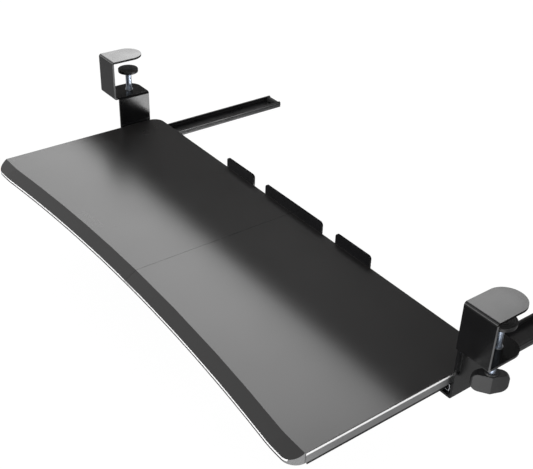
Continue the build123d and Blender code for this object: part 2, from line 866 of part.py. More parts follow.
    # The pan head screws that hold the moving rail under the board
    with BuildPart() as moving_rail_screws:
        with BuildSketch(Plane.XY.offset(flange_top + moving_web)):
            with Locations([(side * rail_centre, y) for y in tray_screw_places]):
                Circle(pan_head_radius)
        extrude(amount=-pan_head_height)
        fillet(moving_rail_screws.edges().group_by(Axis.Z)[0], pan_head_round)
        with BuildSketch(Plane.XY.offset(flange_top + moving_web)):
            with Locations([(side * rail_centre, y) for y in tray_screw_places]):
                Circle(wood_screw_radius)
        extrude(amount=rail_sheet + tray_screw_reach - screw_end_gap)
        with BuildSketch(Plane.XY.offset(flange_top + moving_web - pan_head_height)):
            with Locations([(side * rail_centre, y) for y in tray_screw_places]):
                Rectangle(recess_span, recess_width)
                Rectangle(recess_width, recess_span)
        extrude(amount=recess_depth, mode=Mode.SUBTRACT)
    moving_rail_screws.part.label = f"moving_rail_screws_{word}"
    export_step(moving_rail_screws.part, f"parts/moving_rail_screws_{word}.step")
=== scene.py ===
import json
import math
import bpy
import bmesh
from bpy.props import FloatProperty, FloatVectorProperty, IntProperty, PointerProperty
from bpy.types import Operator, Panel, PropertyGroup
from mathutils import Matrix, Vector


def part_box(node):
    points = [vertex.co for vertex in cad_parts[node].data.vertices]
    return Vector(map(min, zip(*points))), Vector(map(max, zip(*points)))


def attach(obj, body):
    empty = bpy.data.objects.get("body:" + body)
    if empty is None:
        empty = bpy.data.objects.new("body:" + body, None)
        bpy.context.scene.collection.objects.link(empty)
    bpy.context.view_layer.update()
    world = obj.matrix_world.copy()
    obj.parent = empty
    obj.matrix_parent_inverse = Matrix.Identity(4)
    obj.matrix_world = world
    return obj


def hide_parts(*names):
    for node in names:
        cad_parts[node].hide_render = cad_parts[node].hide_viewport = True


bl_info = {
    "name": "Clamp-on keyboard tray",
    "version": (1, 0, 0),
    "blender": (4, 5, 0),
    "location": "3D View > Sidebar > Tray",
    "description": "Dresses the packed keyboard tray with soft edges, threads and finishes",
    "category": "Object",
}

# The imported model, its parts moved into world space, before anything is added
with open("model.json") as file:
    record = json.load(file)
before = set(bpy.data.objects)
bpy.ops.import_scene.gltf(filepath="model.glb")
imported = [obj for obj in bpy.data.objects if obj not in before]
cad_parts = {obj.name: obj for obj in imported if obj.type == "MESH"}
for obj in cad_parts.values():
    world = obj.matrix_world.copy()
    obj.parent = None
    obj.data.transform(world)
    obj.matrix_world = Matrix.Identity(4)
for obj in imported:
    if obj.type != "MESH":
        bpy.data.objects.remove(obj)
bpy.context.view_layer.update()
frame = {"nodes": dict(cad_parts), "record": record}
hands = ("left", "right")
body_of_node = {
    node: body
    for body, members in frame["record"]["behaviour"]["bodies"].items()
    for node in members
}

# Turns from face to face, in degrees: an edge past the first is rounded, one past the second shades sharp
rounded_past, sharp_past = 28.0, 38.0


def length(name, description, default):
    """A length property in metres."""
    return FloatProperty(
        name=name, description=description, default=default, min=0.0, precision=5, unit="LENGTH"
    )


def colour(name, description, default):
    """A colour property."""
    return FloatVectorProperty(
        name=name, description=description, default=default, size=3, min=0.0, max=1.0, subtype="COLOR"
    )


def brightness(name, description, default):
    """A light's strength or radiance."""
    return FloatProperty(name=name, description=description, default=default, min=0.0)


def place(name, description, default):
    """A place in metres."""
    return FloatVectorProperty(
        name=name,
        description=description,
        default=default,
        size=3,
        precision=5,
        subtype="TRANSLATION",
        unit="LENGTH",
    )


class TraySizes(PropertyGroup):
    """Sizes of the details that the solids leave plain"""

    sheet: length("Sheet", "Thickness of the clamps' steel", 0.003)
    plate_edge: length("Plate edge", "Rounding of the steel's cut edges", 0.0005)
    rail_edge: length("Rail edge", "Rounding of the rails' thin edges", 0.00012)
    seam: length("Seam", "Gap left between the halves under the board", 0.00002)
    board_edge: length("Board edge", "Rounding of the laminate's edges", 0.0004)
    band_edge: length("Band edge", "Rounding of the pads' and the nuts' edges", 0.0003)
    # Painted shade: the dark line at the top of the band stands in for the shade on the rounded edge
    shade_line_height: length("Lip drop", "Height of the dark line over the pale one on the sides", 0.0016)
    # Painted highlight: the pale lines along the sides and the front stand in for the gleam on the rounded
    # top edges
    side_highlight_height: length("Lip height", "Height of the pale line along the board's sides", 0.0032)
    front_highlight_height: length("Front lip height", "Height of the pale line along the board's front", 0.0025)
    stop_edge: length("Stop edge", "Rounding of the back stops' edges", 0.0004)
    knob_edge: length("Knob edge", "Rounding of the moulded knob's edges", 0.0012)
    disc_edge: length("Disc edge", "Rounding of the pressure disc's rim", 0.0003)
    thread_radius: length("Thread radius", "Crest radius of the clamping thread", 0.005)
    thread_pitch: length("Thread pitch", "Travel of the clamping screw in a turn", 0.0015)
    thread_depth: length("Thread depth", "Crest to root of the thread", 0.00088)
    thread_steps: IntProperty(
        name="Thread steps", description="Faces round each turn of the thread", default=32, min=12
    )
    pad_rings: IntProperty(
        name="Pad rings", description="Grip grooves in the disc's rubber facing", default=5, min=1
    )
    pad_ring_depth: length("Ring depth", "Depth of each grip groove", 0.0006)
    groove: length("Groove", "Half the width of each grip groove at its top", 0.0006)
    neck_radius: length("Neck radius", "Radius of the clamping screw's neck in the disc", 0.003)
    rivet_radius: length("Rivet radius", "Radius of the neck's riveted end", 0.0045)
    rivet_height: length("Rivet height", "Height of the neck's riveted end", 0.0012)
    nut_height: length("Nut height", "Height of the welded nut under the jaw", 0.008)
    bead_size: length("Weld bead", "Thickness of the weld beads round the nut", 0.0014)
    bead_ripple: length("Bead ripple", "Height of the ripples on a weld bead", 0.00025)


class TrayColours(PropertyGroup):
    """Colours of the finishes"""

    paint: colour("Powder coat", "Gloss black coat of the clamps", (0.0035, 0.0035, 0.0038))
    # Painted highlight: the clamps' rounded edges and the front strip's cut sides wear this lighter coat,
    # which stands in for the light they catch
    coat_edge_highlight: colour("Coat edge", "The coat where it thins on an edge", (0.08, 0.08, 0.082))
    laminate: colour("Laminate", "Satin black face of the board", (0.011, 0.0105, 0.0105))
    # Painted sheen: the band's mid grey stands in for the black band's reflection of the bright room
    band: colour("Edge band", "Edge band of the board", (0.135, 0.135, 0.137))
    # Painted highlight: near-white for the gleam along the board's rounded top edges
    painted_lip_highlight: colour("Lip", "Pale line under the board's top edge", (0.9, 0.9, 0.9))
    stop: colour("Stops", "Gloss black of the back stops", (0.004, 0.004, 0.0045))
    knob: colour("Knob", "Moulded black of the wing knobs", (0.013, 0.013, 0.0135))
    rubber: colour("Rubber", "Facings and bumpers", (0.016, 0.016, 0.016))
    foam: colour("Foam", "Pads under the tongues", (0.02, 0.02, 0.02))
    rail: colour("Rail coat", "Black coat of the fixed rails", (0.009, 0.009, 0.0095))
    zinc: colour("Zinc", "Bright zinc plate", (0.58, 0.6, 0.63))
    thread: colour("Thread zinc", "Blue-white zinc of the screws", (0.72, 0.78, 0.87))
    steel: colour("Steel", "Plain steel of the balls and cages", (0.6, 0.6, 0.61))


class TrayStage(PropertyGroup):
    """The camera, the floor and the lights"""

    camera_place: place("Camera place", "Where the camera stands", (0.861934, -0.631413, 0.570944))
    camera_turn: FloatVectorProperty(
        name="Camera turn",
        description="The camera's rotation",
        default=(0.99720949, -0.02770006, 0.93597992),
        size=3,
        precision=5,
        subtype="EULER",
        unit="ROTATION",
    )
    camera_lens: FloatProperty(
        name="Lens",
        description="Focal length on a 36 mm sensor",
        default=61.244326,
        subtype="DISTANCE_CAMERA",
    )
    floor_height: FloatProperty(
        name="Floor height",
        description="Height of the floor under the tray",
        default=-0.3,
        unit="LENGTH",
    )
    floor_colour: colour("Floor", "Colour of the floor", (0.86, 0.86, 0.86))
    world_light: brightness("Room light", "Strength of the even light of the room", 0.7)
    roof_dark: brightness("Dark roof", "What gloss sees of the room high up and behind", 0.15)
    floor_gloss: brightness("Floor in gloss", "What gloss sees of the floor", 0.33)
    sheen_far: brightness("Far sheen", "Radiance of the soft box behind to the left", 3.1)
    sheen_near: brightness("Near sheen", "Radiance of the soft box over the tray", 4.8)
    back_light: brightness("Back light", "Radiance of the soft box far behind the tray", 3.4)
    low_light: brightness("Low light", "Radiance of the low soft box in front", 3.0)
    front_light: brightness("Front light", "Radiance of the soft box that models the shapes", 9.0)
    side_light: brightness("Side light", "Radiance of the soft box on the right", 5.0)
    bounce: brightness("Bounce", "Radiance of the low card that the knobs and screws mirror", 2.0)
    low_back: brightness("Low back light", "Radiance of the small lamp under the rear edge", 9.0)
    card_place: place("Shade card", "Middle of the dark card behind the tray", (0.0, 0.602, -0.016))
    card_width: length("Card width", "Width of the shade card", 3.0)
    card_depth: length("Card depth", "Depth of the shade card", 1.2)
    card_colour: colour("Card colour", "Dark brown of the shade card", (0.04, 0.032, 0.028))


def finish(name):
    """A new material, with its nodes, its links and its shader."""
    made = bpy.data.materials.new(name)
    made.use_nodes = True
    nodes = made.node_tree.nodes
    return made, nodes, made.node_tree.links, nodes["Principled BSDF"]


def grain(nodes, links, scale, detail=3.0, stretch=(1.0, 1.0, 1.0)):
    """Noise on Object coordinates, drawn out along the axes by stretch, then turned off them."""
    origin = nodes.new("ShaderNodeTexCoord")
    turn = nodes.new("ShaderNodeMapping")
    turn.inputs["Scale"].default_value = stretch
    turn.inputs["Rotation"].default_value = (0.37, 0.61, 0.83)
    noise = nodes.new("ShaderNodeTexNoise")
    noise.inputs["Scale"].default_value = scale
    noise.inputs["Detail"].default_value = detail
    links.new(origin.outputs["Object"], turn.inputs["Vector"])
    links.new(turn.outputs["Vector"], noise.inputs["Vector"])
    return noise


def spread(nodes, links, source, low, high, start=0.3, stop=0.7):
    """A value from low to high as source goes from start to stop."""
    span = nodes.new("ShaderNodeMapRange")
    span.inputs["From Min"].default_value = start
    span.inputs["From Max"].default_value = stop
    span.inputs["To Min"].default_value = low
    span.inputs["To Max"].default_value = high
    links.new(source, span.inputs["Value"])
    return span.outputs["Result"]


def tint(nodes, links, source, one, other):
    """A colour between one and other as source goes from 0 to 1."""
    mix = nodes.new("ShaderNodeMix")
    mix.data_type = "RGBA"
    mix.inputs["A"].default_value = (*one, 1.0)
    mix.inputs["B"].default_value = (*other, 1.0)
    links.new(source, mix.inputs["Factor"])
    return mix.outputs["Result"]


def relief(nodes, links, source, strength, depth, under=None):
    """Bump from a height, on top of an earlier bump if there is one."""
    bump = nodes.new("ShaderNodeBump")
    bump.inputs["Strength"].default_value = strength
    bump.inputs["Distance"].default_value = depth
    links.new(source, bump.inputs["Height"])
    if under is not None:
        links.new(under, bump.inputs["Normal"])
    return bump.outputs["Normal"]


def lighter(shade, times):
    """A colour made lighter or darker."""
    return tuple(min(1.0, part * times) for part in shade)


def coating(name, shade, gloss, patch, pebble, depth, level=0.5, smudge=1.6):
    """A painted or moulded surface: uneven gloss in patches, and a fine pebble."""
    made, nodes, links, shader = finish(name)
    broad = grain(nodes, links, patch)
    fine = grain(nodes, links, pebble, 2.0)
    patches = spread(nodes, links, broad.outputs["Fac"], 0.0, 1.0)
    links.new(tint(nodes, links, patches, shade, lighter(shade, smudge)), shader.inputs["Base Color"])
    links.new(spread(nodes, links, broad.outputs["Fac"], *gloss), shader.inputs["Roughness"])
    links.new(relief(nodes, links, fine.outputs["Fac"], 0.5, depth), shader.inputs["Normal"])
    shader.inputs["Specular IOR Level"].default_value = level
    return made


def plated(name, shade, gloss, patch, brushed=(1.0, 1.0, 1.0)):
    """A plated or bare metal: cloudy plate, fine scratches along the drawing direction."""
    made, nodes, links, shader = finish(name)
    broad = grain(nodes, links, patch)
    lines = grain(nodes, links, patch * 12.0, 4.0, brushed)
    clouds = spread(nodes, links, broad.outputs["Fac"], 0.0, 1.0)
    clouded = tint(nodes, links, clouds, lighter(shade, 0.82), lighter(shade, 1.12))
    links.new(clouded, shader.inputs["Base Color"])
    links.new(spread(nodes, links, lines.outputs["Fac"], *gloss), shader.inputs["Roughness"])
    links.new(relief(nodes, links, lines.outputs["Fac"], 0.35, 0.00003), shader.inputs["Normal"])
    shader.inputs["Metallic"].default_value = 1.0
    return made


def sight(nodes, links):
    """Light Path's answer to what looks: any ray that shows the background, and any but the camera's."""
    path = nodes.new("ShaderNodeLightPath")
    mirrored = nodes.new("ShaderNodeMath")
    mirrored.operation = "MAXIMUM"
    links.new(path.outputs["Is Glossy Ray"], mirrored.inputs[0])
    links.new(path.outputs["Is Transmission Ray"], mirrored.inputs[1])
    seen = nodes.new("ShaderNodeMath")
    seen.operation = "MAXIMUM"
    links.new(path.outputs["Is Camera Ray"], seen.inputs[0])
    links.new(mirrored.outputs["Value"], seen.inputs[1])
    return seen.outputs["Value"], mirrored.outputs["Value"]


def settle(shell, name):
    """The finished object of a bmesh, with its place in its mesh."""
    mesh = bpy.data.meshes.new(name)
    shell.to_mesh(mesh)
    shell.free()
    piece = bpy.data.objects.new(name, mesh)
    bpy.context.scene.collection.objects.link(piece)
    return piece


def even_normals(piece, angle):
    """Smooth shading that keeps flat faces flat and edges past the angle sharp."""
    piece.data.shade_smooth()
    piece.data.set_sharp_from_angle(angle=math.radians(angle))
    weighted = piece.modifiers.new("Even normals", "WEIGHTED_NORMAL")
    weighted.weight = 60
    weighted.keep_sharp = True


def join_frame(piece, node, finishes):
    """The piece rides where its node rides, takes its place and wears the finishes."""
    for made in finishes:
        piece.data.materials.append(made)
    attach(piece, body_of_node[node])
    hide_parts(node)
    return piece


def cad_shell(node):
    """A merged copy of a CAD node's mesh, with its flat faces whole."""
    shell = bmesh.new()
    shell.from_mesh(frame["nodes"][node].data)
    bmesh.ops.remove_doubles(shell, verts=shell.verts, dist=1e-6)
    bmesh.ops.dissolve_limit(
        shell,
        angle_limit=math.radians(0.5),
        verts=shell.verts,
        edges=shell.edges,
        use_dissolve_boundaries=False,
    )
    for face in shell.faces:
        face.material_index = 0
    return shell


def is_upright(face):
    """Whether a face stands upright, within a few degrees."""
    return abs(face.normal.z) < 0.1


def faces_front(face):
    """Whether a face looks to the front, however little."""
    return face.normal.y < -0.05


def close_seam(shell, gap, foot):
    """Brings the lower edges of the halves together, so that no light comes up through the seam."""
    beside, above = 0.0003, 0.001
    for vert in shell.verts:
        if abs(vert.co.x) < beside and vert.co.z < foot + above:
            vert.co.x = math.copysign(gap / 2, vert.co.x)


def line_under(shell, brow, height, index):
    """Gives a line of that height under the brow's edges the material of that index."""
    crest = list(dict.fromkeys(vert for edge in brow for vert in edge.verts))
    foot = []
    for vert in crest:
        for edge in list(vert.link_edges):
            drop = vert.co.z - edge.other_vert(vert).co.z
            if drop > height and any(is_upright(face) for face in edge.link_faces):
                foot.append(bmesh.utils.edge_split(edge, vert, height / drop)[1])
    bmesh.ops.connect_verts(shell, verts=foot)
    line = set(crest + foot)
    for face in shell.faces:
        if is_upright(face) and line.issuperset(face.verts):
            face.material_index = index


def round_edges(shell, edges, width, segments, index):
    """Rounds the edges and gives the rounding the material of that index."""
    rounded = bmesh.ops.bevel(
        shell,
        geom=edges,
        offset=width,
        offset_type="OFFSET",
        affect="EDGES",
        segments=segments,
        profile=0.5,
        clamp_overlap=True,
        material=-1,
    )
    for face in rounded["faces"]:
        face.material_index = index


def sharp_edges(shell, from_angle):
    """The edges that turn by more than an angle in degrees."""
    return [
        edge
        for edge in shell.edges
        if edge.is_manifold and edge.calc_face_angle(0.0) > math.radians(from_angle)
    ]


def coat_strip_sides(shell, sheet, corner, index):
    """Gives the front strip's cut sides, under and before a corner, the material of that index."""
    for way in ((0.0, 1.0, 0.0), (0.0, 0.0, 1.0)):
        bmesh.ops.bisect_plane(
            shell,
            geom=shell.verts[:] + shell.edges[:] + shell.faces[:],
            plane_co=corner,
            plane_no=way,
        )
    for face in shell.faces:
        centre = face.calc_center_median()
        if abs(face.normal.x) < 0.9 or centre.y > corner.y or centre.z > corner.z:
            continue
        corners = [edge for edge in face.edges if edge.calc_face_angle(0.0) > math.radians(60.0)]
        rim = sum(edge.calc_length() for edge in corners)
        if abs(2.0 * face.calc_area() - sheet * rim) < 0.3 * sheet * rim:
            face.material_index = index


def dress(node, width, finishes, segments=2, smooth_angle=sharp_past):
    """A node again with its sharp edges rounded; the rounding wears the last finish."""
    shell = cad_shell(node)
    if width > 0.0:
        round_edges(shell, sharp_edges(shell, rounded_past), width, segments, len(finishes) - 1)
    piece = settle(shell, "dressed_" + node)
    even_normals(piece, smooth_angle)
    return join_frame(piece, node, finishes)


def lathe(shell, outline, centre, steps):
    """Turns an outline of (radius, height) points round an upright axis."""
    ring = [shell.verts.new((centre.x + radius, centre.y, height)) for radius, height in outline]
    edges = [shell.edges.new(pair) for pair in zip(ring, ring[1:])]
    bmesh.ops.spin(
        shell,
        geom=ring + edges,
        cent=centre,
        axis=(0.0, 0.0, 1.0),
        angle=math.tau,
        steps=steps,
        use_merge=True,
    )


def close_up(shell):
    """Merges the seam and the poles, and turns the faces outwards."""
    bmesh.ops.remove_doubles(shell, verts=shell.verts, dist=1e-7)
    bmesh.ops.recalc_face_normals(shell, faces=shell.faces)


def middle(node):
    """The middle of a node's box."""
    low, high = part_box(node)
    return (low + high) / 2


class TRAY_OT_clamps(Operator):
    """Rounds the folded steel's edges and coats the clamps"""

    bl_idname = "tray.clamps"
    bl_label = "Clamps"

    def execute(self, context):
        sizes, shades = context.scene.tray_sizes, context.scene.tray_colours
        coat = coating("gloss_powder_coat", shades.paint, (0.16, 0.26), 22.0, 900.0, 0.00005, level=0.5)
        # Painted highlight: a lighter coat for the rounded edges and the strip's cut sides
        edge_highlight = coating("powder_coat_painted_highlight", shades.coat_edge_highlight, (0.25, 0.4), 60.0, 900.0, 0.00005)
        for word in hands:
            node = f"clamp_bracket_{word}"
            shell = cad_shell(node)
            # Painted highlight: the front strip's cut sides and the rounded edges wear the lighter coat
            coat_strip_sides(shell, sizes.sheet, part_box(f"hook_pad_{word}")[0], 1)
            round_edges(shell, sharp_edges(shell, rounded_past), sizes.plate_edge, 2, 1)
            piece = settle(shell, "dressed_" + node)
            even_normals(piece, sharp_past)
            join_frame(piece, node, (coat, edge_highlight))
        foam = coating("pad_foam", shades.foam, (0.8, 0.95), 60.0, 1500.0, 0.00025, level=0.25)
        for word in hands:
            dress(f"hook_pad_{word}", sizes.band_edge, (foam,))
        return {"FINISHED"}


class TRAY_OT_nuts(Operator):
    """Plates the welded nuts and lays the weld beads round them"""

    bl_idname = "tray.nuts"
    bl_label = "Weld nuts"

    def execute(self, context):
        sizes, shades = context.scene.tray_sizes, context.scene.tray_colours
        zinc = plated("nut_zinc", shades.zinc, (0.3, 0.5), 120.0)
        bead = plated("weld_bead", lighter(shades.steel, 0.35), (0.4, 0.6), 400.0)
        for word in hands:
            node = f"weld_nut_{word}"
            dress(node, sizes.band_edge, (zinc,))
            low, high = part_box(node)
            centre = middle(f"clamp_screw_{word}")
            flat = (high.y - low.y) / 2
            jaw = low.z + sizes.nut_height
            beads, lead, run, ripples = 3, 0.2, math.radians(46.0), 41.0
            shell = bmesh.new()
            for turn in range(beads):
                section = bmesh.ops.create_circle(
                    shell,
                    cap_ends=False,
                    segments=10,
                    radius=sizes.bead_size,
                    matrix=Matrix.Translation((centre.x + flat + 0.0003, centre.y, jaw))
                    @ Matrix.Rotation(math.pi / 2, 4, "X"),
                )["verts"]
                bmesh.ops.rotate(
                    shell,
                    verts=section,
                    cent=Vector((centre.x, centre.y, jaw)),
                    matrix=Matrix.Rotation(math.tau / beads * turn + lead, 3, "Z"),
                )
                edges = list(dict.fromkeys(edge for vert in section for edge in vert.link_edges))
                bmesh.ops.spin(
                    shell,
                    geom=section + edges,
                    cent=Vector((centre.x, centre.y, jaw)),
                    axis=(0.0, 0.0, 1.0),
                    angle=run,
                    steps=14,
                )
            bmesh.ops.holes_fill(shell, edges=[e for e in shell.edges if e.is_boundary], sides=0)
            close_up(shell)
            for vert in shell.verts:
                along = math.atan2(vert.co.y - centre.y, vert.co.x - centre.x)
                vert.co.z = min(jaw, vert.co.z + sizes.bead_ripple * math.sin(along * ripples))
            piece = settle(shell, f"weld_beads_{word}")
            even_normals(piece, 60.0)
            piece.data.materials.append(bead)
            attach(piece, body_of_node[node])
        return {"FINISHED"}


class TRAY_OT_clamp_screws(Operator):
    """Cuts the threads of the clamping screws"""

    bl_idname = "tray.clamp_screws"
    bl_label = "Clamping screws"

    def execute(self, context):
        sizes, shades = context.scene.tray_sizes, context.scene.tray_colours
        zinc = plated("thread_zinc", shades.thread, (0.22, 0.4), 150.0, (0.2, 0.2, 3.0))
        pitch, crest = sizes.thread_pitch, sizes.thread_radius - 0.00002
        root = crest - sizes.thread_depth
        for word in hands:
            node = f"clamp_screw_{word}"
            low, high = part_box(node)
            centre = Vector(((low.x + high.x) / 2, (low.y + high.y) / 2, 0.0))
            foot = low.z
            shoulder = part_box(f"pressure_disc_{word}")[0].z + 0.0027
            turns = int((shoulder - foot) / pitch) + 3
            shell = bmesh.new()
            outline = (
                (root, 0.0),
                (root, 0.2 * pitch),
                (crest, 0.52 * pitch),
                (crest, 0.68 * pitch),
                (root, pitch),
            )
            ring = [
                shell.verts.new((centre.x + radius, centre.y, foot - pitch + height))
                for radius, height in outline
            ]
            edges = [shell.edges.new(pair) for pair in zip(ring, ring[1:])]
            bmesh.ops.spin(
                shell,
                geom=ring + edges,
                cent=centre,
                axis=(0.0, 0.0, 1.0),
                dvec=(0.0, 0.0, pitch / sizes.thread_steps),
                angle=math.tau,
                steps=sizes.thread_steps,
            )
            turn = shell.verts[:] + shell.edges[:] + shell.faces[:]
            for count in range(1, turns):
                copied = bmesh.ops.duplicate(shell, geom=turn)["geom"]
                raised = [part for part in copied if isinstance(part, bmesh.types.BMVert)]
                bmesh.ops.translate(shell, verts=raised, vec=(0.0, 0.0, pitch * count))
            bmesh.ops.remove_doubles(shell, verts=shell.verts, dist=1e-6)
            for height, way in ((foot, -1.0), (shoulder, 1.0)):
                bmesh.ops.bisect_plane(
                    shell,
                    geom=shell.verts[:] + shell.edges[:] + shell.faces[:],
                    plane_co=(0.0, 0.0, height),
                    plane_no=(0.0, 0.0, way),
                    clear_outer=True,
                )
            bmesh.ops.holes_fill(shell, edges=[e for e in shell.edges if e.is_boundary], sides=0)
            close_up(shell)
            neck, rivet = sizes.neck_radius, sizes.rivet_radius
            neck_foot, rivet_foot = shoulder - 0.001, high.z - sizes.rivet_height
            chamfer = sizes.rivet_height / 2
            outline = (
                (0.0, neck_foot),
                (neck, neck_foot),
                (neck, rivet_foot),
                (rivet, rivet_foot),
                (rivet, high.z - chamfer),
                (rivet - chamfer, high.z),
                (0.0, high.z),
            )
            lathe(shell, outline, centre, 32)
            close_up(shell)
            piece = settle(shell, f"threaded_screw_{word}")
            even_normals(piece, 30.0)
            join_frame(piece, node, (zinc,))
        return {"FINISHED"}


class TRAY_OT_wing_knobs(Operator):
    """Rounds the moulded wing knobs"""

    bl_idname = "tray.wing_knobs"
    bl_label = "Wing knobs"

    def execute(self, context):
        sizes, shades = context.scene.tray_sizes, context.scene.tray_colours
        moulded = coating("moulded_knob", shades.knob, (0.4, 0.5), 40.0, 700.0, 0.00012)
        for word in hands:
            dress(f"wing_knob_{word}", sizes.knob_edge, (moulded,), segments=3)
        return {"FINISHED"}


class TRAY_OT_pressure_discs(Operator):
    """Makes the pressure discs and their grooved rubber facings"""

    bl_idname = "tray.pressure_discs"
    bl_label = "Pressure discs"

    def execute(self, context):
        sizes, shades = context.scene.tray_sizes, context.scene.tray_colours
        coat = coating("disc_plate", shades.paint, (0.3, 0.42), 60.0, 900.0, 0.00004)
        rubber = coating("disc_rubber", shades.rubber, (0.62, 0.8), 60.0, 1400.0, 0.0001, level=0.35)
        for word in hands:
            dress(f"pressure_disc_{word}", sizes.disc_edge, (coat,))
            node = f"disc_pad_{word}"
            low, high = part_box(node)
            centre = middle(node)
            radius = (high.x - low.x) / 2
            soft = 0.0003
            outline = [(0.0, low.z), (radius, low.z), (radius, high.z - soft), (radius - soft, high.z)]
            margin = 0.6
            for ring in range(sizes.pad_rings):
                middle_radius = radius * (1.0 - (ring + margin) / (sizes.pad_rings + margin))
                outline += [
                    (middle_radius + sizes.groove, high.z),
                    (middle_radius + sizes.groove / 2, high.z - sizes.pad_ring_depth),
                    (middle_radius - sizes.groove / 2, high.z - sizes.pad_ring_depth),
                    (middle_radius - sizes.groove, high.z),
                ]
            outline.append((0.0, high.z))
            shell = bmesh.new()
            lathe(shell, outline, Vector((centre.x, centre.y, 0.0)), 64)
            close_up(shell)
            piece = settle(shell, f"grooved_facing_{word}")
            even_normals(piece, 30.0)
            join_frame(piece, node, (rubber,))
        return {"FINISHED"}


class TRAY_OT_board(Operator):
    """Lays the laminate on the board and bands its edges"""

    bl_idname = "tray.board"
    bl_label = "Board"

    def execute(self, context):
        sizes, shades = context.scene.tray_sizes, context.scene.tray_colours
        made, nodes, links, shader = finish("satin_laminate")
        broad = grain(nodes, links, 9.0)
        fine = grain(nodes, links, 1300.0, 2.0)
        lines = grain(nodes, links, 260.0, 1.0, (0.2, 1.0, 1.0))
        patches = spread(nodes, links, broad.outputs["Fac"], 0.0, 1.0, 0.1, 0.9)
        patched = tint(nodes, links, patches, shades.laminate, lighter(shades.laminate, 1.35))
        links.new(patched, shader.inputs["Base Color"])
        gloss = spread(nodes, links, broad.outputs["Fac"], 0.26, 0.31, 0.1, 0.9)
        links.new(gloss, shader.inputs["Roughness"])
        pebble = relief(nodes, links, fine.outputs["Fac"], 0.1, 0.00003)
        lined = relief(nodes, links, lines.outputs["Fac"], 0.12, 0.00003, pebble)
        links.new(lined, shader.inputs["Normal"])
        shader.inputs["Specular IOR Level"].default_value = 0.45
        dark = lighter(shades.laminate, 1.6)
        edge = coating("laminate_edge", dark, (0.24, 0.32), 60.0, 1300.0, 0.00002)
        # Painted highlight: a pale finish for the lines where the rounded top edges catch the light
        painted_lip_highlight = coating("pale_lip_painted_highlight", shades.painted_lip_highlight, (0.3, 0.4), 60.0, 1100.0, 0.00002, smudge=0.94)
        # Painted sheen: the band's grey stands in for the reflection on a black edge
        band = coating("edge_band", shades.band, (0.34, 0.44), 40.0, 1100.0, 0.00004, smudge=1.12)
        # Which finish of a piece each part wears, the line being a painted highlight; the rest wears the
        # first
        rim, line, banded = 1, 2, 3
        for word in hands:
            node = f"board_{word}"
            shell = cad_shell(node)
            close_seam(shell, sizes.seam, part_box(node)[0].z)
            brow = []
            for each in shell.edges:
                faces = sorted(each.link_faces, key=lambda face: face.normal.z)
                if is_upright(faces[0]) and faces_front(faces[0]) and 0.6 < faces[-1].normal.z < 0.95:
                    brow.append(each)
            # Painted highlight: a pale line down the front's land, under the bevel
            line_under(shell, brow, sizes.front_highlight_height, line)
            # The front's land wears the rim finish, and its rounded corners wear the band's grey of painted
            # sheen
            for face in shell.faces:
                if is_upright(face) and faces_front(face):
                    aside = abs(face.normal.x)
                    if face.material_index == 0:
                        face.material_index = banded if aside > 0.12 else rim
                    elif aside > 0.45:
                        face.material_index = banded
            across = [
                each
                for each in sharp_edges(shell, 20.0)
                if abs((each.verts[0].co - each.verts[1].co).normalized().z) < 0.9
            ]
            round_edges(shell, across, sizes.board_edge, 2, rim)
            piece = settle(shell, "dressed_" + node)
            even_normals(piece, sharp_past)
            join_frame(piece, node, (made, edge, painted_lip_highlight, band))

            node = f"edge_band_{word}"
            low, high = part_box(node)
            shell = cad_shell(node)
            close_seam(shell, sizes.seam, low.z)
            foot = sizes.shade_line_height + sizes.side_highlight_height
            for height in (high.z - foot, high.z - sizes.shade_line_height):
                bmesh.ops.bisect_plane(
                    shell,
                    geom=shell.verts[:] + shell.edges[:] + shell.faces[:],
                    plane_co=(0.0, 0.0, height),
                    plane_no=(0.0, 0.0, 1.0),
                )
            for face in shell.faces:
                rise = high.z - face.calc_center_median().z
                # Painted shade: a dark line along the band's top, in the rim finish
                if rise < sizes.shade_line_height:
                    face.material_index = rim
                # Painted highlight: a pale line under the dark one
                elif rise < foot:
                    face.material_index = line
            piece = settle(shell, "dressed_" + node)
            even_normals(piece, sharp_past)
            join_frame(piece, node, (band, edge, painted_lip_highlight))
        return {"FINISHED"}


class TRAY_OT_back_stops(Operator):
    """Polishes the upright stops behind the board"""

    bl_idname = "tray.back_stops"
    bl_label = "Back stops"

    def execute(self, context):
        sizes, shades = context.scene.tray_sizes, context.scene.tray_colours
        gloss = coating("gloss_stop", shades.stop, (0.06, 0.12), 30.0, 500.0, 0.00001, level=0.3)
        for word in ("left", "middle", "right"):
            dress(f"back_stop_{word}", sizes.stop_edge, (gloss,))
        return {"FINISHED"}


class TRAY_OT_rails(Operator):
    """Coats the rails and leaves their cut ends bright"""

    bl_idname = "tray.rails"
    bl_label = "Slide rails"

    def execute(self, context):
        sizes, shades = context.scene.tray_sizes, context.scene.tray_colours
        coat = coating("rail_coat", shades.rail, (0.26, 0.4), 40.0, 900.0, 0.00004)
        cut = plated("bright_cut_end", lighter(shades.zinc, 1.4), (0.3, 0.5), 300.0)
        cut.node_tree.nodes["Principled BSDF"].inputs["Metallic"].default_value = 0.3
        rubber = coating("bumper_rubber", shades.rubber, (0.55, 0.7), 60.0, 1400.0, 0.00008, level=0.35)
        for word in hands:
            piece = dress(f"fixed_rail_{word}", sizes.rail_edge, (coat,), segments=1)
            piece.data.materials.append(cut)
            low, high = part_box(f"fixed_rail_{word}")
            near = 0.0002
            for face in piece.data.polygons:
                at_end = face.center.y < low.y + near or face.center.y > high.y - near
                if at_end and abs(face.normal.y) > 0.9:
                    face.material_index = 1
            dress(f"moving_rail_{word}", sizes.rail_edge, (coat,), segments=1)
            dress(f"rail_bumper_{word}", sizes.band_edge, (rubber,))
        return {"FINISHED"}


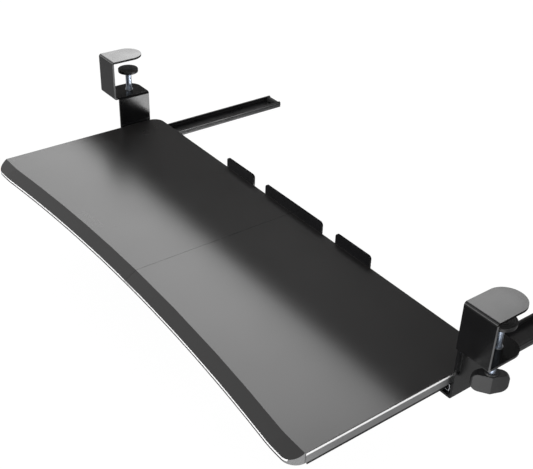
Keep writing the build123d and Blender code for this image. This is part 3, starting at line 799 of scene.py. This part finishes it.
class TRAY_OT_cages(Operator):
    """Finishes the ball cages and the balls"""

    bl_idname = "tray.cages"
    bl_label = "Ball cages"

    def execute(self, context):
        sizes, shades = context.scene.tray_sizes, context.scene.tray_colours
        steel = plated("cage_steel", shades.steel, (0.3, 0.45), 80.0)
        bright = plated("ball_steel", lighter(shades.steel, 1.25), (0.08, 0.16), 80.0)
        for word in hands:
            dress(f"ball_retainer_{word}", 0.0, (steel,))
            dress(f"rail_balls_{word}", 0.0, (bright,), smooth_angle=80.0)
        return {"FINISHED"}


class TRAY_OT_fasteners(Operator):
    """Plates the joining plates and the small screws"""

    bl_idname = "tray.fasteners"
    bl_label = "Fasteners"

    def execute(self, context):
        sizes, shades = context.scene.tray_sizes, context.scene.tray_colours
        plate = plated("joining_zinc", shades.zinc, (0.26, 0.42), 60.0, (0.06, 1.0, 1.0))
        head = plated("screw_zinc", shades.zinc, (0.24, 0.38), 160.0)
        for word in ("front", "rear"):
            dress(f"joining_plate_{word}", sizes.plate_edge * 0.6, (plate,))
        names = ["joining_screws", "back_stop_screws"]
        for word in hands:
            names += [f"fixed_rail_screws_{word}", f"moving_rail_screws_{word}"]
        for node in names:
            dress(node, 0.0, (head,), smooth_angle=30.0)
        return {"FINISHED"}


class TRAY_OT_stage(Operator):
    """Sets the floor, the soft lights and the camera"""

    bl_idname = "tray.stage"
    bl_label = "Stage"

    def execute(self, context):
        scene = context.scene
        setting = scene.tray_stage
        shell = bmesh.new()
        bmesh.ops.create_grid(shell, x_segments=1, y_segments=1, size=12.0)
        bmesh.ops.translate(shell, verts=shell.verts, vec=(0.0, 0.0, setting.floor_height))
        floor = settle(shell, "pale_floor")
        made, nodes, links, shader = finish("pale_floor")
        speck = grain(nodes, links, 3.0)
        shade = tuple(setting.floor_colour)
        specked = tint(nodes, links, speck.outputs["Fac"], lighter(shade, 0.99), shade)
        links.new(specked, shader.inputs["Base Color"])
        shader.inputs["Roughness"].default_value = 0.9
        shader.inputs["Specular IOR Level"].default_value = 0.1
        seen, mirrored = sight(nodes, links)
        glow = nodes.new("ShaderNodeEmission")
        glare = spread(nodes, links, mirrored, 1.05, setting.floor_gloss, 0.0, 1.0)
        links.new(glare, glow.inputs["Strength"])
        blend = nodes.new("ShaderNodeMixShader")
        links.new(spread(nodes, links, seen, 0.0, 0.9, 0.0, 1.0), blend.inputs["Fac"])
        links.new(shader.outputs["BSDF"], blend.inputs[1])
        links.new(glow.outputs["Emission"], blend.inputs[2])
        links.new(blend.outputs["Shader"], nodes["Material Output"].inputs["Surface"])
        floor.data.materials.append(made)

        shell = bmesh.new()
        bmesh.ops.create_grid(shell, x_segments=1, y_segments=1, size=0.5)
        bmesh.ops.scale(shell, verts=shell.verts, vec=(setting.card_width, setting.card_depth, 1.0))
        bmesh.ops.translate(shell, verts=shell.verts, vec=setting.card_place)
        card = settle(shell, "shade_card")
        made, nodes, links, shader = finish("shade_card")
        shader.inputs["Base Color"].default_value = (*setting.card_colour, 1.0)
        shader.inputs["Roughness"].default_value = 0.9
        card.data.materials.append(made)
        card.visible_camera = card.visible_diffuse = card.visible_shadow = False

        world = bpy.data.worlds.new("even_room")
        scene.world = world
        world.use_nodes = True
        nodes, links = world.node_tree.nodes, world.node_tree.links
        world.cycles.sampling_method = "NONE"
        back = nodes["Background"]
        back.inputs["Color"].default_value = (1.0, 1.0, 1.0, 1.0)
        seen, mirrored = sight(nodes, links)
        way = nodes.new("ShaderNodeTexCoord")
        roof = nodes.new("ShaderNodeVectorMath")
        roof.operation = "DOT_PRODUCT"
        roof.inputs[1].default_value = (0.35, 0.35, 0.87)
        links.new(way.outputs["Generated"], roof.inputs[0])
        room = nodes.new("ShaderNodeMix")
        links.new(mirrored, room.inputs["Factor"])
        room.inputs["A"].default_value = 1.0
        shaded = spread(nodes, links, roof.outputs["Value"], 1.0, setting.roof_dark, 0.3, 0.62)
        links.new(shaded, room.inputs["B"])
        light = nodes.new("ShaderNodeMix")
        links.new(seen, light.inputs["Factor"])
        light.inputs["A"].default_value = setting.world_light
        links.new(room.outputs["Result"], light.inputs["B"])
        links.new(light.outputs["Result"], back.inputs["Strength"])

        # Each soft box's name, place, aim, width, depth and radiance, and whether it lights more than gloss
        for name, stand, aim, wide, deep, radiance, modelling in (
            ("sheen_far", (-3.25, 0.9, 1.5), (-3.25, 0.9, 0.0), 2.3, 0.9, setting.sheen_far, False),
            ("sheen_near", (-1.3, 0.9, 1.5), (-1.3, 0.9, 0.0), 1.6, 0.9, setting.sheen_near, False),
            ("back", (-2.45, 1.925, 1.5), (-2.45, 1.925, 0.0), 3.9, 1.15, setting.back_light, False),
            ("low_front", (-1.65, -2.15, 0.72), (0.0, 0.0, 0.0), 2.7, 0.55, setting.low_light, False),
            ("front", (0.15, -2.3, 0.55), (0.1, 0.0, -0.1), 1.3, 0.8, setting.front_light, True),
            ("side", (2.5, -0.4, 0.6), (0.3, 0.0, -0.1), 1.2, 0.8, setting.side_light, True),
            ("bounce", (0.64, -0.34, -0.29), (0.64, -0.34, 0.0), 0.5, 0.5, setting.bounce, False),
            ("low_back", (0.04, 0.33, -0.29), (0.04, 0.33, 0.0), 0.24, 0.3, setting.low_back, False),
        ):
            lamp = bpy.data.lights.new(name, "AREA")
            lamp.shape = "RECTANGLE"
            lamp.size, lamp.size_y = wide, deep
            lamp.energy = radiance * math.pi * wide * deep
            holder = bpy.data.objects.new(name, lamp)
            scene.collection.objects.link(holder)
            holder.location = stand
            holder.rotation_euler = (Vector(aim) - Vector(stand)).to_track_quat("-Z", "Y").to_euler()
            holder.visible_diffuse = modelling
            holder.visible_camera = False

        lens = bpy.data.cameras.new("camera")
        lens.sensor_width = 36.0
        lens.lens = setting.camera_lens
        lens.clip_start, lens.clip_end = 0.05, 60.0
        camera = bpy.data.objects.new("camera", lens)
        scene.collection.objects.link(camera)
        camera.location = setting.camera_place
        camera.rotation_euler = setting.camera_turn
        scene.camera = camera
        scene.view_settings.view_transform = "Standard"
        return {"FINISHED"}


class TRAY_PT_panel(Panel):
    """The tray's pieces, sizes and colours"""

    bl_label = "Keyboard tray"
    bl_idname = "TRAY_PT_panel"
    bl_space_type = "VIEW_3D"
    bl_region_type = "UI"
    bl_category = "Tray"

    def draw(self, context):
        for step in steps:
            self.layout.operator(step.bl_idname)
        for group in (context.scene.tray_sizes, context.scene.tray_colours, context.scene.tray_stage):
            box = self.layout.box()
            for name in type(group).__annotations__:
                box.prop(group, name)


steps = (
    TRAY_OT_clamps,
    TRAY_OT_nuts,
    TRAY_OT_clamp_screws,
    TRAY_OT_wing_knobs,
    TRAY_OT_pressure_discs,
    TRAY_OT_board,
    TRAY_OT_back_stops,
    TRAY_OT_rails,
    TRAY_OT_cages,
    TRAY_OT_fasteners,
    TRAY_OT_stage,
)
classes = (TraySizes, TrayColours, TrayStage, *steps, TRAY_PT_panel)


def register():
    for each in classes:
        bpy.utils.register_class(each)
    bpy.types.Scene.tray_sizes = PointerProperty(type=TraySizes)
    bpy.types.Scene.tray_colours = PointerProperty(type=TrayColours)
    bpy.types.Scene.tray_stage = PointerProperty(type=TrayStage)


def unregister():
    del bpy.types.Scene.tray_stage
    del bpy.types.Scene.tray_colours
    del bpy.types.Scene.tray_sizes
    for each in reversed(classes):
        bpy.utils.unregister_class(each)


def main():
    register()
    bpy.ops.tray.clamps()
    bpy.ops.tray.nuts()
    bpy.ops.tray.clamp_screws()
    bpy.ops.tray.wing_knobs()
    bpy.ops.tray.pressure_discs()
    bpy.ops.tray.board()
    bpy.ops.tray.back_stops()
    bpy.ops.tray.rails()
    bpy.ops.tray.cages()
    bpy.ops.tray.fasteners()
    bpy.ops.tray.stage()
    bpy.context.view_layer.update()


if __name__ == "__main__":
    main()
